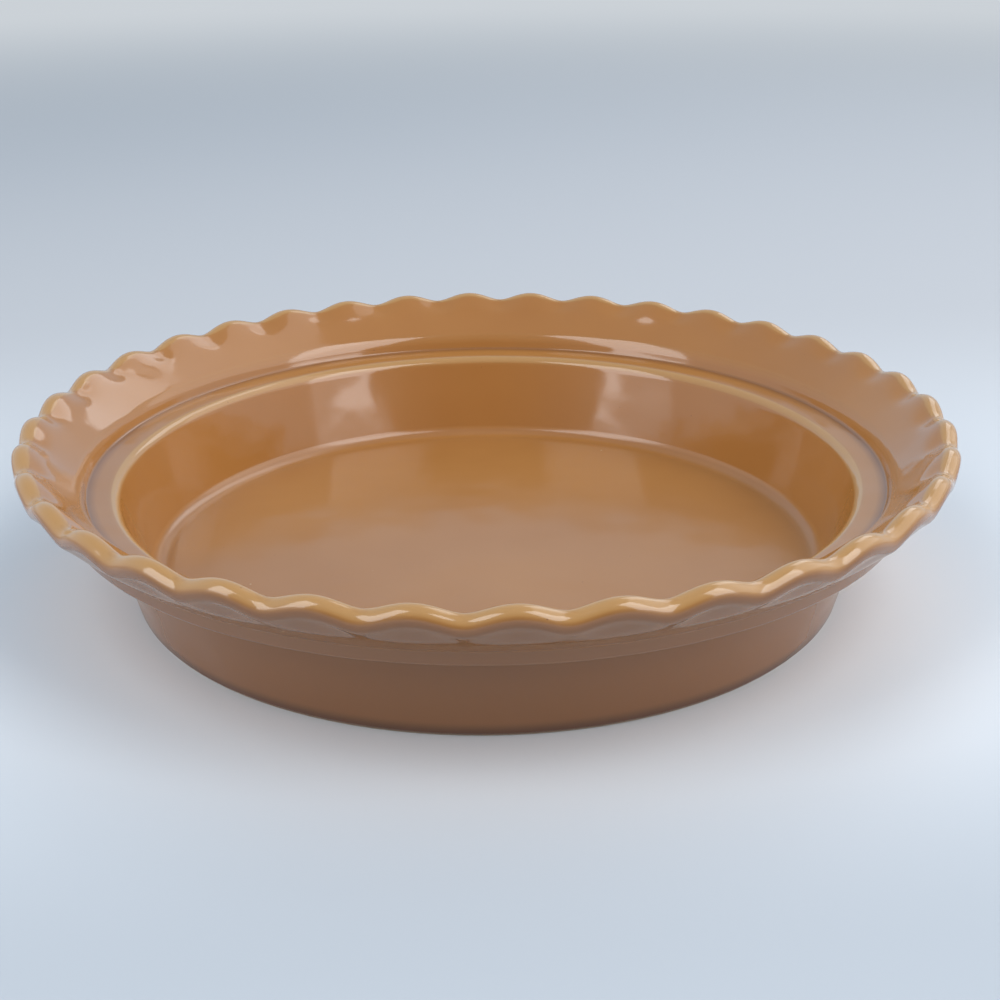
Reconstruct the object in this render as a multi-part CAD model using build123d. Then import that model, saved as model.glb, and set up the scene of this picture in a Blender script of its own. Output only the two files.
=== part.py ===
from build123d import *
import math
import os

# Driving sizes of the pie dish, in millimetres. Z is up and the foot ring stands on Z = 0.
# They give the glazed surface; the clay lies one glaze thickness inside it.
# Radii are worked out from the rim inwards, and heights from the foot upwards.

# Rim: a rolled lip that rises and dips once for each scallop, and stands out a little at each crest
rim_diameter = 280.0
lip_radius = 3.2
crest_rise = 2.5
crest_stand_out = 0.5
scallop_count = 36
notch_softness_share = 0.55

# Flange: from the lip at a notch in to the ridge above the riser, plain near the ridge, fluted near the lip
flange_width = 14.7
flange_rise = 7.7
plain_flange_width = 7.4
ridge_rounding = 1.8

# Riser, shelf and well
riser_lean = 1.0
riser_height = 4.0
riser_foot_rounding = 0.9
shelf_width = 9.1
shelf_rise = 1.0
well_edge_rounding = 2.4
well_flare = 8.3
well_depth = 27.0
floor_rounding = 3.0
floor_height = 5.9

# Outside: wall and foot, the step out to the raised band, the crease above it and the flare up to the lip.
# The flare is plain next to the crease, and eases into the lip further out.
foot_thickness = 5.0
wall_thickness = 3.7
wall_top_drop = 5.1
wall_top_rounding = 2.6
band_thickness = 6.2
step_rise = 2.2
band_edge_rounding = 1.5
band_lean = 1.2
band_height = 4.4
crease_rounding = 0.9
plain_flare_width = 7.0
foot_rounding = 1.6
foot_ring_width = 7.0
foot_inner_rounding = 1.0
recess_draft = 0.8
recess_height = 1.8
recess_rounding = 1.4

# Glaze
glaze_thickness = 0.45
glaze_line_height = 1.1

# Where one scallop is cut to draw its lip, from notch to notch, and how far the flange eases into it
station_shares = (-1.0, -0.75, -0.5, -0.25, 0.0, 0.25, 0.5, 0.75, 1.0)
ease_share = 0.42

# The gap that two surfaces may leave and still be joined, and the overrun of cuts
joining_gap = 0.001
overrun = 5.0

# Radii from the rim inwards
lip_notch_radius = rim_diameter / 2 - lip_radius - crest_stand_out
ridge_radius = lip_notch_radius - flange_width
riser_foot_radius = ridge_radius - riser_lean
well_edge_radius = riser_foot_radius - shelf_width
floor_radius = well_edge_radius - well_flare
foot_outer_radius = floor_radius + foot_thickness
foot_inner_radius = foot_outer_radius - foot_ring_width
wall_top_radius = well_edge_radius + wall_thickness
band_edge_radius = riser_foot_radius + band_thickness
crease_radius = band_edge_radius + band_lean

# Heights from the foot upwards
well_edge_height = floor_height + well_depth
riser_foot_height = well_edge_height + shelf_rise
ridge_height = riser_foot_height + riser_height
lip_notch_height = ridge_height + flange_rise
wall_top_height = well_edge_height - wall_top_drop
band_edge_height = wall_top_height + step_rise
crease_height = band_edge_height + band_height


def wave_share(place):
    """Height of the scallop wave, from 0 at the notches (place -1 and 1) to 1 at the crest (place 0)."""
    swing = math.hypot(math.cos(place * math.pi / 2), notch_softness_share)
    return (swing - notch_softness_share) / (math.hypot(1, notch_softness_share) - notch_softness_share)


def lip_centre(share):
    """Radius and height of the lip's centre where the wave stands at this share of its rise."""
    return (lip_notch_radius + crest_stand_out * share, lip_notch_height + crest_rise * share)


def lip_point(share, degrees, depth):
    """A point of the lip's round, seen in the plane of the axis, one depth under the glazed surface."""
    radius, height = lip_centre(share)
    reach = lip_radius - depth
    angle = math.radians(degrees)
    return (radius + reach * math.cos(angle), height + reach * math.sin(angle))


def direction(start, end):
    """Unit vector from one point to another in the plane of the axis."""
    run = end[0] - start[0]
    rise = end[1] - start[1]
    length = math.hypot(run, rise)
    return (run / length, rise / length)


def along(start, heading, radius):
    """The point at this radius on the line that leaves start in this heading."""
    return (radius, start[1] + (radius - start[0]) * heading[1] / heading[0])


def slope_to_lip(start, share, side):
    """Degrees of the line from start that grazes the lip, over its round (side 1) or under it (side -1)."""
    radius, height = lip_centre(share)
    run = radius - start[0]
    rise = height - start[1]
    to_centre = math.atan2(rise, run)
    to_edge = math.asin(lip_radius / math.hypot(run, rise))
    return math.degrees(to_centre + side * to_edge)


# The flange's straight inner line grazes the lip halfway up a scallop, and the flare's outer line grazes it
# at a notch. So the lip runs smoothly out of both, and under each crest there is a small hollow.
flange_slope = slope_to_lip((ridge_radius, ridge_height), wave_share(1 / 2), 1)
flare_slope = slope_to_lip((crease_radius, crease_height), 0, -1)
quarter_turn = 90.0
lip_inner_angle = flange_slope + quarter_turn
lip_outer_angle = flare_slope - quarter_turn
lip_middle_angle = (lip_inner_angle + lip_outer_angle) / 2


def heading_of(slope):
    """Unit vector at this slope in the plane of the axis."""
    return (math.cos(math.radians(slope)), math.sin(math.radians(slope)))


flange_heading = heading_of(flange_slope)
flare_heading = heading_of(flare_slope)
flute_start = along((ridge_radius, ridge_height), flange_heading, ridge_radius + plain_flange_width)
flare_end = along((crease_radius, crease_height), flare_heading, crease_radius + plain_flare_width)

# Corners of the round part's outline as (radius, height, rounding), up the inside, then down the outside.
# The foot's outline lies one glaze thickness under Z = 0, because the bare clay is what stands there.
inside_corners = [
    (0, floor_height, 0),
    (floor_radius, floor_height, floor_rounding),
    (well_edge_radius, well_edge_height, well_edge_rounding),
    (riser_foot_radius, riser_foot_height, riser_foot_rounding),
    (ridge_radius, ridge_height, ridge_rounding),
    (flute_start[0], flute_start[1], 0),
]
outside_corners = [
    (flare_end[0], flare_end[1], 0),
    (crease_radius, crease_height, crease_rounding),
    (band_edge_radius, band_edge_height, band_edge_rounding),
    (wall_top_radius, wall_top_height, wall_top_rounding),
    (foot_outer_radius, -glaze_thickness, foot_rounding),
    (foot_inner_radius, -glaze_thickness, foot_inner_rounding),
    (foot_inner_radius - recess_draft, recess_height, recess_rounding),
    (0, recess_height, 0),
]


def sink(corners, depth):
    """Move an open outline into the clay by this depth, with its roundings kept parallel.

    The air lies on the left of the outline, so a left turn is a hollow corner and a right turn a full one.
    """
    headings = [direction(start, end) for start, end in zip(corners[:-1], corners[1:])]
    moved = []
    for index, (radius, height, rounding) in enumerate(corners):
        before = headings[max(index - 1, 0)]
        after = headings[min(index, len(headings) - 1)]
        turn = before[0] * after[1] - before[1] * after[0]
        spread = 1 + before[0] * after[0] + before[1] * after[1]
        shift_radius = (before[1] + after[1]) / spread
        shift_height = -(before[0] + after[0]) / spread
        new_rounding = rounding + math.copysign(depth, turn) if rounding else 0
        moved.append((radius + depth * shift_radius, height + depth * shift_height, new_rounding))
    return moved


def rounded_line(corners):
    """Straight lines through the corners, each inner corner rounded by its own radius."""
    points = [(radius, height) for radius, height, rounding in corners]
    return FilletPolyline(*points, radius=[rounding for radius, height, rounding in corners[1:-1]])


def round_part(depth):
    """Floor, wall, shelf, riser, band and foot: all that is turned about the axis."""
    inside = sink(inside_corners, depth)
    outside = sink(outside_corners, depth)
    outline = rounded_line(inside) + rounded_line(outside)
    outline += Line(inside[-1][:2], outside[0][:2])
    outline += Line(outside[-1][:2], inside[0][:2])
    return revolve(Plane.XZ * make_face(outline), Axis.Z).solid()


def eased_curve(start, end, heading):
    """A curve that leaves start and reaches end in the same heading, shifted by the scallop in between."""
    handle = ease_share * math.hypot(end[0] - start[0], end[1] - start[1])
    step = (handle * heading[0], handle * heading[1])
    leaving = (start[0] + step[0], start[1] + step[1])
    arriving = (end[0] - step[0], end[1] - step[1])
    return Bezier(start, leaving, arriving, end)


def rim_section(place, depth):
    """Outline of the rim where a plane through the axis cuts one scallop."""
    share = wave_share(place)
    inner_join = sink(inside_corners, depth)[-1][:2]
    outer_join = sink(outside_corners, depth)[0][:2]
    lip_start = lip_point(share, lip_inner_angle, depth)
    lip_middle = lip_point(share, lip_middle_angle, depth)
    lip_end = lip_point(share, lip_outer_angle, depth)
    outline = eased_curve(inner_join, lip_start, flange_heading)
    outline += ThreePointArc(lip_start, lip_middle, lip_end)
    outline += eased_curve(outer_join, lip_end, flare_heading)
    outline += Line(outer_join, inner_join)
    half_pitch = 180 / scallop_count
    return Plane.XZ.rotated((0, 0, place * half_pitch)) * outline.wire()


def rim(depth):
    """The scalloped rim: one scallop, lofted from notch to notch with its crest on +X, and its copies."""
    scallop = Solid.make_loft([rim_section(place, depth) for place in station_shares])
    pitch = 360 / scallop_count
    scallops = [scallop.rotate(Axis.Z, index * pitch) for index in range(scallop_count)]
    return scallops[0].fuse(*scallops[1:], glue=True)


def dish(depth):
    """The whole dish, one depth under its glazed surface."""
    return round_part(depth).fuse(rim(depth), tol=joining_gap).solid()


# Stoneware body: the fired clay. Its bare foot ring is what the dish stands on.
stoneware_body = dish(glaze_thickness)

# Glaze: the glass skin over all of the clay but the foot ring, which is wiped clean to the glaze line.
# The bare ring parts the small pool inside the foot from the coat that covers the rest.
skin_outside = dish(0)
wiped_height = glaze_line_height + overrun
wiped_foot = Pos(0, 0, glaze_line_height - wiped_height / 2) * Cylinder(rim_diameter / 2, wiped_height)
glaze_pieces = (skin_outside - wiped_foot - stoneware_body).solids().sort_by(SortBy.VOLUME)
base_glaze = glaze_pieces[0]
glaze_coat = glaze_pieces[-1]

nodes = {
    "stoneware_body": stoneware_body,
    "glaze_coat": glaze_coat,
    "base_glaze": base_glaze,
}

os.makedirs("parts", exist_ok=True)
for name, solid in nodes.items():
    export_step(solid, f"parts/{name}.step")
    box = solid.bounding_box()
    print(name, "valid", solid.is_valid, "volume", round(solid.volume), "size", box.size)
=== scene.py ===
# %% [markdown]
# # A glazed stoneware pie dish
#
# The real dish is one piece of fired clay under a honey brown glaze. It has a flat floor, a shelf for the
# pie's crust, a flared flange and a thick lip that rises and dips in small scallops. Three things show
# here: the glaze coat, the pool of glaze inside the foot ring, and the bare clay ring that the dish stands
# on. The solid model gives their places, and this script gives them their surfaces, one short step at a
# time.

# %% Load the solid model
import math

import bmesh
import bpy
from mathutils import Matrix, Vector, kdtree


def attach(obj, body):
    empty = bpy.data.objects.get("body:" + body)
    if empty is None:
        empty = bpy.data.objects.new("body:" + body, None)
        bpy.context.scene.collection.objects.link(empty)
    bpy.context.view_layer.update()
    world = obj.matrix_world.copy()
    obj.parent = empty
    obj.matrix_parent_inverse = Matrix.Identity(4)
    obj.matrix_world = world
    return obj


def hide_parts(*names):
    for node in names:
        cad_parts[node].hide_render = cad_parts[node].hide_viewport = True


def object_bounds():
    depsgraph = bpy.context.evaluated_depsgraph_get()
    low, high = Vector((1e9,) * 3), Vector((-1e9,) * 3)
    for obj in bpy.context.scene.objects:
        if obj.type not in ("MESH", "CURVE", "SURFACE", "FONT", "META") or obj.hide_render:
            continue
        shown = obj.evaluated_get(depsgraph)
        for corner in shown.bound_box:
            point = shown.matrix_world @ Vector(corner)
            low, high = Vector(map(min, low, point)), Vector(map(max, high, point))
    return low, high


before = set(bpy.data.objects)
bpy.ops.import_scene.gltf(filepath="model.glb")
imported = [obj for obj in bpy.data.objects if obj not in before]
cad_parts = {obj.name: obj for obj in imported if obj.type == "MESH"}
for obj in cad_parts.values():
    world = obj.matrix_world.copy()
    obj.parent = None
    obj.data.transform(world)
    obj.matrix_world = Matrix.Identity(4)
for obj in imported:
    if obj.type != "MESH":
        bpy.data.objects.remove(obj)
solid_low, solid_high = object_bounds()
scene = bpy.context.scene
scene.view_settings.view_transform = "Standard"
mm = 0.001
print("nodes", sorted(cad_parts), "size in mm", (solid_high - solid_low) / mm)

# %% [markdown]
# ## Camera
#
# A camera is a point, three turns and a focal length. The first turn says where it faces round the upright
# axis, the second how far it looks down, and the third how far the picture leans. Multiplying the turns in
# that order gives the camera's own axes, which is easier to read than three Euler angles.

# %% Place the camera
camera_azimuth = math.radians(-92.66)
camera_distance = 460.33 * mm
camera_height = 208.49 * mm
camera_heading = math.radians(-3.1405)
camera_look_down = math.radians(22.1666)
camera_lean = math.radians(-0.4707)
camera_sensor_width = 36
camera_focal_length = 57.397

camera_data = bpy.data.cameras.new("camera")
camera_data.sensor_width = camera_sensor_width
camera_data.lens = camera_focal_length
camera = bpy.data.objects.new("camera", camera_data)
scene.collection.objects.link(camera)
heading_turn = Matrix.Rotation(camera_heading, 4, "Z")
down_turn = Matrix.Rotation(math.pi / 2 - camera_look_down, 4, "X")
lean_turn = Matrix.Rotation(camera_lean, 4, "Z")
camera_place = Vector((math.cos(camera_azimuth), math.sin(camera_azimuth), 0)) * camera_distance
camera_place.z = camera_height
camera.matrix_world = Matrix.Translation(camera_place) @ heading_turn @ down_turn @ lean_turn
scene.camera = camera
print("camera at", camera_place)

# %% [markdown]
# ## The section of the dish
#
# A potter cuts a dish in half to see its section, and everything round about a dish follows from that one
# line. The scallops change only its last centimetre or so. So the section is drawn first, as a chain of
# points in the plane of the axis, with X as the radius and Z as the height. All its sizes are in
# millimetres, times the value mm, because Blender counts in metres.

# %% Sizes of the rim
rim_radius = solid_high.x
lip_radius = 3.2 * mm
crest_rise = 2.5 * mm
crest_stand_out = 0.5 * mm
scallop_count = 36
notch_softness = 0.55
full_lift = Vector((crest_stand_out, 0, crest_rise))
lip_at_crest = Vector((rim_radius - lip_radius, 0, solid_high.z - lip_radius))
lip_at_notch = lip_at_crest - full_lift
print("middle of the lip at a notch", lip_at_notch / mm, "mm")

# %% [markdown]
# The wave has broad round crests and slightly narrower notches. The arch of a cosine gives the crest, and
# the softness in the square root rounds the notch, as the glaze does where it runs together.

# %% How far the lip is lifted along one scallop
def wave_share(place):
    """Height of the wave, from 0 at the notches (place -1 and 1) to 1 at the crest (place 0)."""
    swing = math.hypot(math.cos(place * math.pi / 2), notch_softness)
    return (swing - notch_softness) / (math.hypot(1, notch_softness) - notch_softness)


print("wave at its quarters", [round(wave_share(place / 4), 3) for place in range(5)])

# %% [markdown]
# Next come the corners where the straight parts of the section meet. They are read off the solid model, so
# that the glaze of the picture lies where the solid glaze does.

# %% Corners of the section
floor_corner = Vector((103.2, 0, 5.9)) * mm
well_edge = Vector((111.5, 0, 32.9)) * mm
riser_foot = Vector((120.6, 0, 33.9)) * mm
riser_ridge = Vector((121.6, 0, 37.9)) * mm
flare_crease = Vector((128.0, 0, 34.4)) * mm
band_edge = Vector((126.8, 0, 30.0)) * mm
wall_top = Vector((115.2, 0, 27.8)) * mm
foot_corner = Vector((108.2, 0, -0.45)) * mm
glaze_line_height = 1.1 * mm
print("well", round(2 * well_edge.x / mm), "mm across, floor", round(2 * floor_corner.x / mm), "mm across")

# %% [markdown]
# The flange is a slab with a fully rounded edge. Its two sides have to run into the round lip without a
# corner, so each is a tangent: the line from a point that just grazes a circle. Halfway up a scallop the
# inner side grazes the lip, and at a notch the outer side does.

# %% Tangents to the lip
def graze(start, centre, side):
    """Slope of the line from start that grazes the lip, over it (side 1) or under it (side -1), and where."""
    reach_out = centre - start
    slope = math.atan2(reach_out.z, reach_out.x) + side * math.asin(lip_radius / reach_out.length)
    toward = slope + side * math.pi / 2
    return slope, centre + Vector((math.cos(toward), 0, math.sin(toward))) * lip_radius


lip_at_half = lip_at_notch + full_lift * wave_share(1 / 2)
flange_slope, flange_end = graze(riser_ridge, lip_at_half, 1)
flare_slope, lip_end = graze(flare_crease, lip_at_notch, -1)
lip_sweep = math.pi + flange_slope - flare_slope
print("slopes", round(math.degrees(flange_slope), 1), round(math.degrees(flare_slope), 1), "degrees")

# %% [markdown]
# A line of points has no primitive of its own. A tiny plane whose four corners are merged leaves one point,
# and extruding that point draws a line, step by step, as a pen would. These helpers are the pen.

# %% A pen that draws with extrude
def start_line(name, place):
    """A new object that holds one point, in edit mode, with the point picked."""
    bpy.ops.object.select_all(action="DESELECT")
    bpy.ops.mesh.primitive_plane_add(size=mm)
    line = bpy.context.object
    line.name = line.data.name = name
    bpy.ops.object.mode_set(mode="EDIT")
    bpy.ops.mesh.select_mode(type="VERT")
    bpy.ops.mesh.select_all(action="SELECT")
    bpy.ops.mesh.merge(type="CENTER")
    bpy.ops.transform.translate(value=place)
    return line


def pen_place():
    """Where the picked point is."""
    points = bmesh.from_edit_mesh(bpy.context.object.data).verts
    return next(point.co.copy() for point in points if point.select)


def draw_to(place, steps=1):
    """Extrude the picked point to a place, in equal steps."""
    step = (place - pen_place()) / steps
    for _ in range(steps):
        bpy.ops.mesh.extrude_region_move(TRANSFORM_OT_translate={"value": step})


# %% [markdown]
# The flutes of the flange and the neck under the lip each need a few points of their own, because they bend
# when the lip is lifted. The first bend comes at once: the flange is drawn straight, as it is halfway up a
# scallop, and its end is then pulled down to a notch with a soft falloff. The lip is round, so there the
# pen's point is spun about the middle of the lip.

# %% Draw the section from the middle of the floor to the glaze line
def mark_from_here(name):
    """Put the picked point in a new vertex group. What is extruded from it later belongs to the group too."""
    bpy.ops.object.vertex_group_assign_new()
    bpy.context.object.vertex_groups[-1].name = name


def soft_move(shift, reach):
    """Move what is picked, and drag what is joined to it along, less and less up to a reach."""
    bpy.ops.transform.translate(
        value=shift, use_proportional_edit=True, use_proportional_connected=True,
        proportional_edit_falloff="SMOOTH", proportional_size=reach)


flute_length = 7.2 * mm
neck_length = 4.4 * mm
flute_start = flange_end + (riser_ridge - flange_end).normalized() * flute_length
neck_start = lip_end + (flare_crease - lip_end).normalized() * neck_length
wall_heading = foot_corner - wall_top
glaze_line = wall_top + wall_heading * (wall_top.z - glaze_line_height) / -wall_heading.z

section = start_line("section", Vector((0, 0, floor_corner.z)))
for share in (0.3, 0.6, 0.8, 0.9, 0.94, 0.96):
    draw_to(Vector((floor_corner.x * share, 0, floor_corner.z)))
draw_to(floor_corner)
draw_to(well_edge, 9)
draw_to(riser_foot, 3)
draw_to(riser_ridge)
draw_to(flute_start, 3)
mark_from_here("flute_and_beyond")
draw_to(flange_end, 6)
mark_from_here("lip_and_beyond")
soft_move(lip_at_notch - lip_at_half, flute_length)
bpy.ops.mesh.spin(steps=18, angle=-lip_sweep, center=lip_at_notch, axis=(0, 1, 0))
print("the lip ends", round((pen_place() - lip_end).length / mm, 4), "mm from where the flare grazes it")
draw_to(neck_start, 6)
mark_from_here("below_neck")
draw_to(flare_crease, 4)
draw_to(band_edge)
draw_to(wall_top, 4)
draw_to(glaze_line, 9)
print("points in the section", len(bmesh.from_edit_mesh(section.data).verts))

# %% [markdown]
# Fired clay has no sharp corners, because glaze softens each edge and fills each hollow, so the larger of
# these arcs are rounder than those of the solid model. A bevel on a single point of a line turns it into an
# arc. Its offset is the distance from the corner to where the arc starts, which for a radius r and a turn t
# is r times the tangent of half of t.

# %% Round the corners
arc_steps = 6
floor_rounding = 5.0 * mm
well_edge_rounding = 3.4 * mm
riser_foot_rounding = 0.9 * mm
ridge_rounding = 7.0 * mm
crease_rounding = 0.9 * mm
band_edge_rounding = 1.5 * mm
wall_top_rounding = 2.6 * mm


def pick(test):
    """Select only the points that pass a test of their place."""
    shape = bmesh.from_edit_mesh(bpy.context.object.data)
    bpy.ops.mesh.select_all(action="DESELECT")
    for point in shape.verts:
        if test(point.co):
            point.select = True
    shape.select_flush(True)
    bmesh.update_edit_mesh(bpy.context.object.data)


def round_corner(before, corner, after, radius):
    """Turn one corner of the line into an arc."""
    turn = (corner - before).angle(after - corner)
    pick(lambda place: (place - corner).length < mm / 100)
    offset = radius * math.tan(turn / 2)
    bpy.ops.mesh.bevel(offset_type="OFFSET", offset=offset, segments=arc_steps, affect="VERTICES")


round_corner(Vector((0, 0, floor_corner.z)), floor_corner, well_edge, floor_rounding)
round_corner(floor_corner, well_edge, riser_foot, well_edge_rounding)
round_corner(well_edge, riser_foot, riser_ridge, riser_foot_rounding)
round_corner(riser_foot, riser_ridge, flute_start, ridge_rounding)
round_corner(lip_end, flare_crease, band_edge, crease_rounding)
round_corner(flare_crease, band_edge, wall_top, band_edge_rounding)
round_corner(band_edge, wall_top, foot_corner, wall_top_rounding)
bpy.ops.object.mode_set(mode="OBJECT")
print("points with round corners", len(section.data.vertices))

# %% [markdown]
# ## One scallop
#
# All 36 scallops are alike, so one is made with care and copied. It is a fan of sections, each turned a
# little further round the axis. In each one the lip is lifted to its height on the wave: everything from
# the lip outwards is moved with a soft falloff that reaches down the flange, and then everything below the
# neck is moved back with a shorter falloff. That leaves a long flute inside, and a small hollow under each
# crest outside.

# %% Lift the lip of one section
def pick_group(name):
    """Select only the points of a vertex group."""
    bpy.ops.mesh.select_all(action="DESELECT")
    bpy.ops.object.vertex_group_set_active(group=name)
    bpy.ops.object.vertex_group_select()


def section_at(place):
    """A copy of the section with its lip on the wave, turned to its place between two notches."""
    bpy.ops.object.select_all(action="DESELECT")
    section.select_set(True)
    bpy.context.view_layer.objects.active = section
    bpy.ops.object.duplicate()
    bpy.ops.object.mode_set(mode="EDIT")
    lift = full_lift * wave_share(place)
    pick_group("lip_and_beyond")
    soft_move(lift, flute_length)
    pick_group("below_neck")
    soft_move(-lift, neck_length)
    bpy.ops.mesh.select_all(action="SELECT")
    turn = place * math.pi / scallop_count
    bpy.ops.transform.rotate(value=-turn, orient_axis="Z", center_override=(0, 0, 0))
    bpy.ops.object.mode_set(mode="OBJECT")
    return bpy.context.object


columns = 20
sections = [section_at(2 * index / columns - 1) for index in range(columns + 1)]
crest = sections[columns // 2].data
top = max(crest.vertices, key=lambda point: point.co.z).co
print("crest top", round(top.z / mm, 2), "mm, the solid model's top", round(solid_high.z / mm, 2), "mm")

# %% [markdown]
# The sections are now the ribs of the scallop. Joined into one object, they are covered by a single bridge,
# which lays a strip of faces between each rib and the next.

# %% Bridge the sections into one scallop
bpy.ops.object.select_all(action="DESELECT")
for piece in sections:
    piece.select_set(True)
bpy.context.view_layer.objects.active = sections[0]
bpy.ops.object.join()
scallop = bpy.context.object
scallop.name = scallop.data.name = "scallop"
bpy.ops.object.mode_set(mode="EDIT")
bpy.ops.mesh.select_all(action="SELECT")
bpy.ops.mesh.bridge_edge_loops()
bpy.ops.object.mode_set(mode="OBJECT")
bpy.data.objects.remove(section)
print("one scallop has", len(scallop.data.vertices), "points and", len(scallop.data.polygons), "faces")

# %% [markdown]
# The lip needs many sections, but the plain wall and floor are round and need few. Where the dish is plain,
# only each fourth section is kept: the edges of the others are dissolved, which joins the faces beside them
# and leaves the surface as it was.

# %% Thin out the plain part
kept_step = 4
half_pitch = math.pi / scallop_count


def column_of(place):
    """Which section of the fan a point lies on, counted from 0 at the first notch."""
    angle = math.atan2(place.y, place.x)
    return round((angle + half_pitch) / (2 * half_pitch) * columns)


bpy.ops.object.mode_set(mode="EDIT")
bpy.ops.mesh.select_mode(type="EDGE")
bpy.ops.mesh.select_all(action="DESELECT")
shape = bmesh.from_edit_mesh(scallop.data)
groups = shape.verts.layers.deform.active
flute_group = scallop.vertex_groups["flute_and_beyond"].index
neck_group = scallop.vertex_groups["below_neck"].index


def is_plain(point):
    """Whether a point lies on the round part, inside the flutes or below the neck."""
    return flute_group not in point[groups] or neck_group in point[groups]


for edge in shape.edges:
    first, second = edge.verts
    middle_column = column_of((first.co + second.co) / 2)
    same_column = abs(first.co.cross(second.co).z) < (mm / 10) ** 2
    if same_column and middle_column % kept_step and is_plain(first) and is_plain(second):
        edge.select = True
shape.select_flush_mode()
bmesh.update_edit_mesh(scallop.data)
bpy.ops.mesh.dissolve_edges(use_verts=True)
bpy.ops.object.mode_set(mode="OBJECT")
print("thinned to", len(scallop.data.vertices), "points and", len(scallop.data.polygons), "faces")

# %% [markdown]
# Spin with its copying option turned on puts a copy at every step round the axis. The copies share their
# edges, so the doubled points along each notch are merged, and the faces are made to point outwards before
# they get a thickness.

# %% Copy the scallop round the dish
bpy.ops.object.mode_set(mode="EDIT")
bpy.ops.mesh.select_mode(type="VERT")
bpy.ops.mesh.select_all(action="SELECT")
bpy.ops.mesh.spin(
    steps=scallop_count - 1, dupli=True, center=(0, 0, 0), axis=(0, 0, 1),
    angle=2 * math.pi * (scallop_count - 1) / scallop_count)
bpy.ops.mesh.select_all(action="SELECT")
bpy.ops.mesh.remove_doubles(threshold=mm / 100)
bpy.ops.mesh.normals_make_consistent(inside=False)
bpy.ops.object.mode_set(mode="OBJECT")
glaze = scallop
glaze.name = glaze.data.name = "honey_glaze_coat"
print("the dish has", len(glaze.data.vertices), "points and", len(glaze.data.polygons), "faces")

# %% [markdown]
# ## Where the glaze is thick and where it is thin, with painted light and shade
#
# Molten glaze runs down off every edge that faces up, and settles in every hollow. Where it is thin it
# turns golden, and where it is thick it is darker. The golden tops of the edges are also a painted
# highlight, and the darker hollows are also painted shade. Both follow the curve of the surface, so the
# curve is measured at each point: the neighbours of a point on an edge lie below its tangent plane, and
# those of a point in a hollow lie above it. Their average height, times four over the reach squared, is
# the curve.

# %% Measure the curve at each point
reach = 2.4 * mm

shape = bmesh.new()
shape.from_mesh(glaze.data)
tree = kdtree.KDTree(len(shape.verts))
for index, point in enumerate(shape.verts):
    tree.insert(point.co, index)
tree.balance()
point_areas = [sum(face.calc_area() / len(face.verts) for face in point.link_faces) for point in shape.verts]


def curve_at(point):
    """How much the surface curves round a point, in 1 / m: above zero in a hollow, below zero on an edge."""
    near = tree.find_range(point.co, reach)
    area = sum(point_areas[index] for place, index, distance in near)
    height = sum(point_areas[index] * (place - point.co).dot(point.normal) for place, index, distance in near)
    return 4 * height / area / reach ** 2


curves = [curve_at(point) for point in shape.verts]
print("curve from", round(min(curves) * mm, 3), "to", round(max(curves) * mm, 3), "per mm")

# %% [markdown]
# Three numbers between 0 and 1 are kept on the mesh for the material to read: how thin the glaze is on an
# edge that faces up, which also places a painted highlight on the tops of the edges; how thick it is in a
# hollow, which also places painted shade there; and how far the point faces outwards, because the outside
# is painted a darker brown, as painted shade for the side that gets no direct light. The ranges below say
# where each of them starts and where it is full.

# %% Keep the measures as attributes
edge_curve_range = (0.02, 0.15)
hollow_curve_range = (0.12, 0.3)
facing_up_range = (-0.15, 0.75)
facing_out_range = (0.1, 0.9)


def share_of(value, low, high):
    """Where a value lies between low and high, from 0 to 1, with a soft start and end."""
    share = max(0, min(1, (value - low) / (high - low)))
    return share * share * (3 - 2 * share)


thin_and_highlight_values = []
thick_and_shade_values = []
outside_shade_values = []
for point, curve in zip(shape.verts, curves):
    outwards = Vector((point.co.x, point.co.y, 0)).normalized()
    is_edge = share_of(-curve * mm, *edge_curve_range)
    # Painted highlight: the golden share is kept to edges that face up, so their tops come out lighter, over
    # the thin glaze.
    thin_and_highlight_values.append(is_edge * share_of(point.normal.z, *facing_up_range))
    # Painted shade: hollows get the darker share, for the shade that settles there, over the pooled glaze.
    thick_and_shade_values.append(share_of(curve * mm, *hollow_curve_range))
    # Painted shade: the share that faces outwards darkens the outside, which gets no direct light.
    outside_shade_values.append(share_of(point.normal.dot(outwards), *facing_out_range))
shape.free()

measures = {"thin_glaze_and_highlight": thin_and_highlight_values, "thick_glaze_and_shade": thick_and_shade_values, "outside": outside_shade_values}
for name, values in measures.items():
    attribute = glaze.data.attributes.new(name, "FLOAT", "POINT")
    attribute.data.foreach_set("value", values)
    print(name, "mean", round(sum(values) / len(values), 3))

# %% [markdown]
# ## From a surface to a coat
#
# Fired clay is never quite true. A displace modifier with a soft cloud texture pushes the surface in by up
# to a fifth of a millimetre, which is what makes the reflections in the glaze waver. Its middle level is 1,
# so it only ever pushes inwards and the dish keeps its size. Solidify then gives the coat its real
# thickness.

# %% Make the surface a little uneven and give it thickness
unevenness = 0.2 * mm
coat_thickness = 0.45 * mm

uneven = bpy.data.textures.new("uneven_clay", "CLOUDS")
uneven.noise_scale = 26 * mm
uneven.noise_depth = 1

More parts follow.
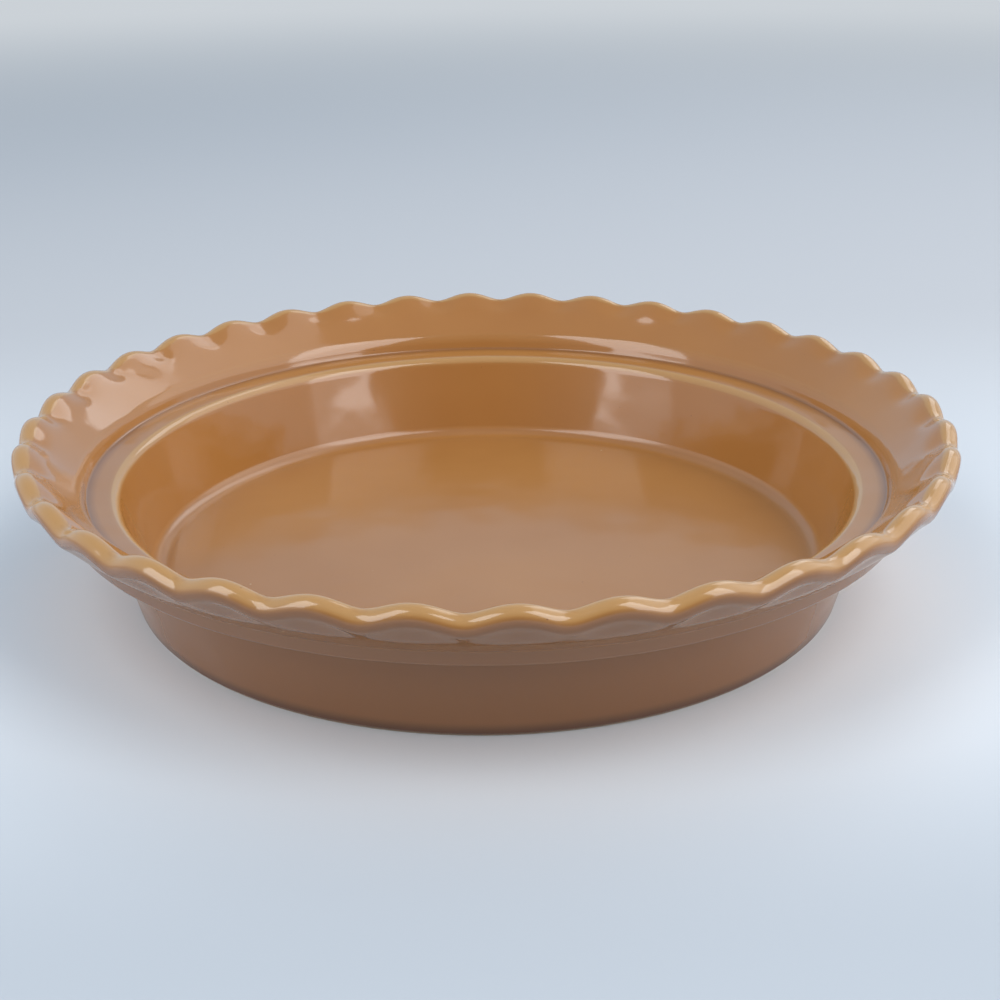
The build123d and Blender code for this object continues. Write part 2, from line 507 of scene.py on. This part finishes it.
bpy.ops.object.select_all(action="DESELECT")
glaze.select_set(True)
bpy.context.view_layer.objects.active = glaze
bpy.ops.object.modifier_add(type="DISPLACE")
glaze.modifiers[-1].texture = uneven
glaze.modifiers[-1].texture_coords = "LOCAL"
glaze.modifiers[-1].mid_level = 1
glaze.modifiers[-1].strength = unevenness
bpy.ops.object.modifier_apply(modifier=glaze.modifiers[-1].name)
bpy.ops.object.modifier_add(type="SOLIDIFY")
glaze.modifiers[-1].thickness = coat_thickness
glaze.modifiers[-1].offset = -1
glaze.modifiers[-1].use_even_offset = True
bpy.ops.object.modifier_apply(modifier=glaze.modifiers[-1].name)
bpy.ops.object.shade_smooth_by_angle(angle=math.radians(50))
print("the coat has", sum(len(face.vertices) - 2 for face in glaze.data.polygons), "triangles")

# %% [markdown]
# The glaze ends in a small bead where the foot ring was wiped. The coat's lower edge is found by its height
# and by the sharp angle between its faces, and bevelled. Then the coat rides on the body of the dish and
# stands for the solid coat, which is hidden.

# %% Round the coat's lower edge
edge_bevel = 0.16 * mm
lower_edge_top = glaze_line_height + 0.3 * mm
sharp_angle = math.radians(60)

bpy.ops.object.mode_set(mode="EDIT")
bpy.ops.mesh.select_mode(type="EDGE")
bpy.ops.mesh.select_all(action="DESELECT")
shape = bmesh.from_edit_mesh(glaze.data)
rounded = 0
for edge in shape.edges:
    low = all(point.co.z < lower_edge_top for point in edge.verts)
    if low and edge.calc_face_angle(0) > sharp_angle:
        edge.select = True
        rounded += 1
shape.select_flush_mode()
bmesh.update_edit_mesh(glaze.data)
bpy.ops.mesh.bevel(offset=edge_bevel, segments=2, affect="EDGES")
bpy.ops.object.mode_set(mode="OBJECT")
print("edges rounded", rounded)

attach(glaze, "root")
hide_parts("glaze_coat")

# %% [markdown]
# ## Honey glaze
#
# The glaze is a brown glass. A noise texture on the object's coordinates lets its colour drift slowly, and
# the three measures on the mesh mix in the darker outside, which is painted shade, the darker hollows of
# pooled glaze and painted shade, and the golden edges of thin glaze and painted highlight. All of it is
# built from the same few nodes, so each kind gets a small helper.

# %% Helpers that add shader nodes
def add_node(material, kind, **settings):
    """Add a shader node. Settings name either an input socket or a property of the node."""
    node = material.node_tree.nodes.new(kind)
    for name, value in settings.items():
        if hasattr(node, name):
            setattr(node, name, value)
        else:
            node.inputs[name.replace("_", " ").title()].default_value = value
    return node


def new_material(name):
    """A node material, its shader and a function that links two sockets."""
    material = bpy.data.materials.new(name)
    material.use_nodes = True
    return material, material.node_tree.nodes["Principled BSDF"], material.node_tree.links.new


# %% Helpers for noise, ramps and mixes
def noise(material, coordinates, scale, detail=2, roughness=0.5):
    """A noise texture on the object's own coordinates, with its scale in cycles per metre."""
    texture = add_node(material, "ShaderNodeTexNoise", scale=scale, detail=detail, roughness=roughness)
    material.node_tree.links.new(coordinates.outputs["Object"], texture.inputs["Vector"])
    return texture


def ramp(material, source, *stops):
    """A colour ramp on a source socket. Each stop is a place and a colour."""
    node = add_node(material, "ShaderNodeValToRGB")
    elements = node.color_ramp.elements
    elements.remove(elements[1])
    elements[0].position, elements[0].color = stops[0]
    for where, colour in stops[1:]:
        elements.new(where).color = colour
    material.node_tree.links.new(source, node.inputs["Fac"])
    return node.outputs["Color"]


def mix_by(material, factor, first, second):
    """Mix two colours by a factor. Each of the three is a socket or a plain value."""
    node = add_node(material, "ShaderNodeMix", data_type="RGBA")
    for socket, value in ((node.inputs[0], factor), (node.inputs[6], first), (node.inputs[7], second)):
        if isinstance(value, bpy.types.NodeSocket):
            material.node_tree.links.new(value, socket)
        else:
            socket.default_value = value
    return node.outputs[2]


def measure(material, name):
    """The share that the mesh keeps under a name."""
    return add_node(material, "ShaderNodeAttribute", attribute_name=name).outputs["Fac"]


# %% [markdown]
# Glass bends light by an index of about 1.5, and a dense glaze by a little more. The index sets how strong
# the reflections are. The colours are given as linear light, from 0 to 1.

# %% The glaze material and its colours
glaze_index = 1.6
honey_light = (0.405, 0.17, 0.044, 1)
honey_dark = (0.365, 0.148, 0.037, 1)
# The outside brown and the hollow brown are partly painted shade, and the edge ochre and gold partly a
# painted highlight.
outside_painted_shade_brown = (0.255, 0.11, 0.044, 1)
hollow_pool_and_shade_brown = (0.27, 0.11, 0.034, 1)
ochre_edge_and_highlight = (0.39, 0.175, 0.048, 1)
gold_edge_and_highlight = (0.455, 0.235, 0.08, 1)

honey, shader, link = new_material("honey_glaze")
shader.inputs["IOR"].default_value = glaze_index
place = add_node(honey, "ShaderNodeTexCoord")
drift = noise(honey, place, 14, 3)
colour = ramp(honey, drift.outputs["Fac"], (0.3, honey_dark), (0.7, honey_light))
# Painted shade on the outside of the dish.
colour = mix_by(honey, measure(honey, "outside"), colour, outside_painted_shade_brown)
# Painted shade in the hollows, over the darker pooled glaze.
colour = mix_by(honey, measure(honey, "thick_glaze_and_shade"), colour, hollow_pool_and_shade_brown)
# Painted highlight on the tops of the edges, over the golden colour of the thin glaze.
thin_and_highlight = measure(honey, "thin_glaze_and_highlight")
edge_and_highlight_colour = ramp(honey, thin_and_highlight, (0.6, ochre_edge_and_highlight), (1.0, gold_edge_and_highlight))
edge_and_highlight_share = ramp(honey, thin_and_highlight, (0.1, (0, 0, 0, 1)), (0.8, (1, 1, 1, 1)))
colour = mix_by(honey, edge_and_highlight_share, colour, edge_and_highlight_colour)
print("nodes in the glaze", len(honey.node_tree.nodes))

# %% [markdown]
# Two small marks tell fired glaze from paint. Iron in the clay bleeds through as fine dark specks, and a
# bubble that bursts late leaves a pinhole. A Voronoi texture scatters points, its distance makes the dots,
# and the random colour of each cell decides which few of them show.

# %% Specks and pinholes
iron_brown = (0.25, 0.105, 0.034, 1)
pinhole_buff = (0.55, 0.36, 0.2, 1)
speck_radius = 0.3 * mm
pinhole_radius = 0.5 * mm


def share_between(material, source, low, high):
    """Map a source socket to 0 at low and 1 at high, with a soft start and end."""
    node = add_node(material, "ShaderNodeMapRange", interpolation_type="SMOOTHSTEP")
    node.inputs["From Min"].default_value = low
    node.inputs["From Max"].default_value = high
    material.node_tree.links.new(source, node.inputs["Value"])
    return node.outputs["Result"]


def dots(material, coordinates, scale, radius, share):
    """Round dots of a radius, on a share of the cells of a Voronoi texture. Scale is in cells per metre."""
    cells = add_node(material, "ShaderNodeTexVoronoi", scale=scale, randomness=1)
    inside_dot = share_between(material, cells.outputs["Distance"], radius * scale, radius * scale / 2)
    chosen = add_node(material, "ShaderNodeMath", operation="LESS_THAN")
    chosen.inputs[1].default_value = share
    both = add_node(material, "ShaderNodeMath", operation="MULTIPLY")
    pick_red = add_node(material, "ShaderNodeSeparateColor")
    connect = material.node_tree.links.new
    connect(coordinates.outputs["Object"], cells.inputs["Vector"])
    connect(cells.outputs["Color"], pick_red.inputs["Color"])
    connect(pick_red.outputs["Red"], chosen.inputs[0])
    connect(inside_dot, both.inputs[0])
    connect(chosen.outputs["Value"], both.inputs[1])
    return both.outputs["Value"]


specks = dots(honey, place, 300, speck_radius, 0.04)
pinholes = dots(honey, place, 110, pinhole_radius, 0.05)
colour = mix_by(honey, specks, colour, iron_brown)
colour = mix_by(honey, pinholes, colour, pinhole_buff)
print("nodes with the specks and pinholes", len(honey.node_tree.nodes))

# %% [markdown]
# The glaze runs down the wall in the kiln and stops in a thick roll just above the foot ring, and its dark
# colour there is mostly painted shade, where the dish stands on the cloth. And knives and spoons have dulled
# the floor of the well, so its reflections are softer than those of the wall. Both follow the height over
# the table, which is the object's own Z, and nothing else. So the lowest part of the outside is dulled too,
# and the pool inside the foot ring comes out as dark as the painted shade over the foot.

# %% The roll and painted shade over the foot, and the worn floor
roll_and_shade_top = 5 * mm
roll_and_shade_full_below = 1.4 * mm
roll_and_shade_brown = (0.1, 0.045, 0.025, 1)
worn_up_to = 12 * mm
worn_full_below = 7 * mm
glossy = (0.1, 0.1, 0.1, 1)
dulled = (0.2, 0.2, 0.2, 1)

honey_axes = add_node(honey, "ShaderNodeSeparateXYZ")
link(place.outputs["Object"], honey_axes.inputs["Vector"])
# Painted shade: the colour darkens towards the table, where the dish stands on the cloth.
roll_and_shade = share_between(honey, honey_axes.outputs["Z"], roll_and_shade_top, roll_and_shade_full_below)
roll_and_shade = ramp(honey, roll_and_shade, (0, (0, 0, 0, 1)), (1, (0.8, 0.8, 0.8, 1)))
link(mix_by(honey, roll_and_shade, colour, roll_and_shade_brown), shader.inputs["Base Color"])
worn = share_between(honey, honey_axes.outputs["Z"], worn_up_to, worn_full_below)
link(ramp(honey, worn, (0, glossy), (1, dulled)), shader.inputs["Roughness"])

# %% [markdown]
# A perfect surface would mirror the windows with ruler-straight sides. On the real dish their sides waver,
# because the glaze lies in long low waves. Three bumps are laid one on the other: the long waves, shorter
# ones and a fine skin. The pinholes are pressed in last.

# %% Waves in the glaze
long_wave = 0.5 * mm
short_wave = 0.03 * mm
fine_skin = 0.008 * mm
pinhole_depth = 0.08 * mm


def add_bump(material, height, distance, below=None):
    """A bump of a height socket. Below is the normal of the bump that it lies on."""
    bump = add_node(material, "ShaderNodeBump", strength=1, distance=distance)
    material.node_tree.links.new(height, bump.inputs["Height"])
    if below:
        material.node_tree.links.new(below, bump.inputs["Normal"])
    return bump.outputs["Normal"]


waves = add_bump(honey, noise(honey, place, 45, 1).outputs["Fac"], long_wave)
waves = add_bump(honey, noise(honey, place, 110, 1).outputs["Fac"], short_wave, waves)
waves = add_bump(honey, noise(honey, place, 260, 1).outputs["Fac"], fine_skin, waves)
waves = add_bump(honey, pinholes, -pinhole_depth, waves)
link(waves, shader.inputs["Normal"])
print("nodes in the finished glaze", len(honey.node_tree.nodes))

glaze.data.materials.clear()
glaze.data.materials.append(honey)

# %% [markdown]
# ## Bare clay
#
# The foot ring is wiped clean before the firing, or the glaze would stick the dish to the kiln's shelf.
# Fired clay is dull and sandy: a fine noise gives it grain, and darker grains of iron are scattered through
# it. Where the wiped clay meets the glaze, the kiln toasts it to a brown line, and the line is made darker
# as painted shade where the dish stands on the cloth. It follows the height over the table.

# %% The clay material
clay_roughness = 0.8
clay_dark = (0.46, 0.38, 0.29, 1)
clay_light = (0.64, 0.56, 0.46, 1)
clay_iron = (0.2, 0.13, 0.09, 1)
clay_toasted_and_shade = (0.22, 0.12, 0.07, 1)
clay_iron_radius = 0.35 * mm
toasted_and_shade_range = (0.1 * mm, 0.9 * mm)
grain_depth = 0.12 * mm

clay, shader, link = new_material("bare_stoneware")
shader.inputs["Roughness"].default_value = clay_roughness
clay_place = add_node(clay, "ShaderNodeTexCoord")
grain = noise(clay, clay_place, 700, 4, 0.7).outputs["Fac"]
clay_colour = ramp(clay, grain, (0.3, clay_dark), (0.7, clay_light))
clay_colour = mix_by(clay, dots(clay, clay_place, 450, clay_iron_radius, 0.12), clay_colour, clay_iron)
clay_axes = add_node(clay, "ShaderNodeSeparateXYZ")
link(clay_place.outputs["Object"], clay_axes.inputs["Vector"])
# Painted shade: the clay darkens towards the glaze line, over the kiln's toasting.
toasted_and_shade = share_between(clay, clay_axes.outputs["Z"], *toasted_and_shade_range)
clay_colour = mix_by(clay, toasted_and_shade, clay_colour, clay_toasted_and_shade)
link(clay_colour, shader.inputs["Base Color"])
link(add_bump(clay, grain, grain_depth), shader.inputs["Normal"])
print("nodes in the clay", len(clay.node_tree.nodes))

# %% [markdown]
# The clay and the small pool of glaze inside the foot ring are shown as the solid model has them. They only
# get their materials.

# %% Dress the solid pieces
def dress(node_name, material):
    """Give a node of the solid model a material of this script."""
    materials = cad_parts[node_name].data.materials
    materials.clear()
    materials.append(material)


dress("stoneware_body", clay)
dress("base_glaze", honey)
print("dressed", [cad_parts[name].name for name in ("stoneware_body", "base_glaze")])

# %% [markdown]
# ## Floor, backdrop and light
#
# The dish stands on a plain pale cloth. A plane is all that it takes, with a matt material. In front of the
# dish and behind it the cloth's colour is darker: painted shade, for the light that falls off there.

# %% Floor
cloth_pale = (0.78, 0.78, 0.79, 1)
cloth_shade_behind = (0.55, 0.53, 0.53, 1)
cloth_shade_in_front = (0.5, 0.51, 0.53, 1)
cloth_roughness = 0.9
cloth_width = 6
shade_behind_range = (-0.1, 0.3)
shade_in_front_range = (-0.06, -0.2)

bpy.ops.object.select_all(action="DESELECT")
bpy.ops.mesh.primitive_plane_add(size=cloth_width)
floor = bpy.context.object
floor.name = "floor"
cloth, shader, link = new_material("pale_floor")
floor_place = add_node(cloth, "ShaderNodeTexCoord")
floor_axes = add_node(cloth, "ShaderNodeSeparateXYZ")
link(floor_place.outputs["Object"], floor_axes.inputs["Vector"])
# Painted shade: the cloth is darker behind the dish and in front of it.
shade_behind = share_between(cloth, floor_axes.outputs["Y"], *shade_behind_range)
shade_in_front = share_between(cloth, floor_axes.outputs["Y"], *shade_in_front_range)
floor_colour = mix_by(cloth, shade_behind, cloth_pale, cloth_shade_behind)
floor_colour = mix_by(cloth, shade_in_front, floor_colour, cloth_shade_in_front)
link(floor_colour, shader.inputs["Base Color"])
shader.inputs["Roughness"].default_value = cloth_roughness
shader.inputs["Specular IOR Level"].default_value = 0
print("floor", round(floor.dimensions.x, 2), "m wide")

# %% [markdown]
# A floor that simply ends shows a hard horizon in a low view. Where it is far from the dish, the camera
# sees a plain glow in the backdrop's colour instead of the cloth, so the floor melts into the backdrop. The
# Light Path node keeps that to the camera's own rays: the light in the room stays as it is.

# %% Let the floor melt into the backdrop
backdrop_grey = (0.6, 0.64, 0.68, 1)
melting_range = (0.7, 2.0)

from_axis = add_node(cloth, "ShaderNodeVectorMath", operation="LENGTH")
link(floor_place.outputs["Object"], from_axis.inputs[0])
far_away = add_node(cloth, "ShaderNodeMath", operation="MULTIPLY")
link(share_between(cloth, from_axis.outputs["Value"], *melting_range), far_away.inputs[0])
link(add_node(cloth, "ShaderNodeLightPath").outputs["Is Camera Ray"], far_away.inputs[1])
glow = add_node(cloth, "ShaderNodeEmission")
glow.inputs["Color"].default_value = backdrop_grey
either = add_node(cloth, "ShaderNodeMixShader")
link(far_away.outputs["Value"], either.inputs[0])
link(shader.outputs["BSDF"], either.inputs[1])
link(glow.outputs["Emission"], either.inputs[2])
link(either.outputs["Shader"], cloth.node_tree.nodes["Material Output"].inputs["Surface"])
floor.data.materials.append(cloth)
print("nodes in the floor", len(cloth.node_tree.nodes))

# %% [markdown]
# The reflections in a glaze tell where the light stands. Two tall bright windows, one at each side of the
# viewer, make the pale patches on the wall and the cream streaks on the ridge and the well's edge, and
# each has a dimmer part below its sill. A wide soft light on the right spreads over the flange, and a small
# one at the back right puts the short highlights on the near lip. A lamp's brightness to the eye is its
# watts over pi times its area.

# %% Lamps
def softbox(name, azimuth, elevation, distance, width, height, watts):
    """A rectangular lamp that faces the middle of the dish. Azimuth 0 is -Y and 90 is +X, in degrees."""
    bpy.ops.object.select_all(action="DESELECT")
    turn = math.radians(azimuth)
    lift = math.radians(elevation)
    toward = Vector((math.sin(turn) * math.cos(lift), -math.cos(turn) * math.cos(lift), math.sin(lift)))
    place = toward * distance
    target = Vector((0, 0, 30 * mm))
    bpy.ops.object.light_add(type="AREA", location=place + target)
    lamp = bpy.context.object
    lamp.name = name
    lamp.rotation_euler = place.to_track_quat("Z", "Y").to_euler()
    lamp.data.shape = "RECTANGLE"
    lamp.data.size = width
    lamp.data.size_y = height
    lamp.data.energy = watts
    print(name, "brightness", round(watts / (math.pi * width * height), 2))


softbox("key_softbox", 95, 42, 1.4, 1.5, 1.3, 5.4)
softbox("window_right", 52, 40.2, 1.6, 0.8, 1.53, 13.5)
softbox("window_left", -58, 40.2, 1.6, 0.8, 1.53, 13.5)
softbox("sill_right", 50, 10, 1.6, 0.8, 0.34, 0.68)
softbox("sill_left", -58, 10, 1.6, 0.8, 0.34, 0.6)
softbox("back_softbox", 148, 40, 1.5, 0.5, 0.9, 2.6)

# %% [markdown]
# The room itself is a world with five colours, one for each way a visitor could look: up, back, front, left
# and right. The light from a direction is a blend of them, each weighted by the square of the direction's
# own share of that axis. The squares add up to 1, so the blend is never brighter than its brightest colour.
# The camera itself sees the plain backdrop instead.

# %% The colours of the room
room_colours = {
    (0, 0, 1): (0.02, 0.22, 0.42),
    (0, 1, 0): (0.55, 0.75, 0.95),
    (0, -1, 0): (0.02, 0.03, 0.04),
    (-1, 0, 0): (0.98, 1.04, 1.11),
    (1, 0, 0): (1.05, 1.1, 1.15),
}
print("colours in the room", len(room_colours))

# %% [markdown]
# In nodes, the share of a direction along an axis is their dot product. What is below zero points the other
# way and is left out, and the rest is squared and scales the axis's colour. The loop adds the colours up.

# %% Blend the colours by direction
world = bpy.data.worlds.new("room")
scene.world = world
world.use_nodes = True
connect = world.node_tree.links.new
direction = add_node(world, "ShaderNodeTexCoord").outputs["Generated"]
total = None
for axis, room_colour in room_colours.items():
    along_axis = add_node(world, "ShaderNodeVectorMath", operation="DOT_PRODUCT")
    along_axis.inputs[1].default_value = axis
    facing = add_node(world, "ShaderNodeMath", operation="MAXIMUM")
    facing.inputs[1].default_value = 0
    squared = add_node(world, "ShaderNodeMath", operation="POWER")
    squared.inputs[1].default_value = 2
    scaled = add_node(world, "ShaderNodeVectorMath", operation="SCALE")
    scaled.inputs[0].default_value = room_colour
    connect(direction, along_axis.inputs[0])
    connect(along_axis.outputs["Value"], facing.inputs[0])
    connect(facing.outputs["Value"], squared.inputs[0])
    connect(squared.outputs["Value"], scaled.inputs["Scale"])
    if total is None:
        total = scaled.outputs["Vector"]
    else:
        summed = add_node(world, "ShaderNodeVectorMath", operation="ADD")
        connect(total, summed.inputs[0])
        connect(scaled.outputs["Vector"], summed.inputs[1])
        total = summed.outputs["Vector"]
seen_directly = add_node(world, "ShaderNodeLightPath").outputs["Is Camera Ray"]
backdrop = mix_by(world, seen_directly, total, backdrop_grey)
connect(backdrop, world.node_tree.nodes["Background"].inputs["Color"])
print("nodes in the world", len(world.node_tree.nodes))
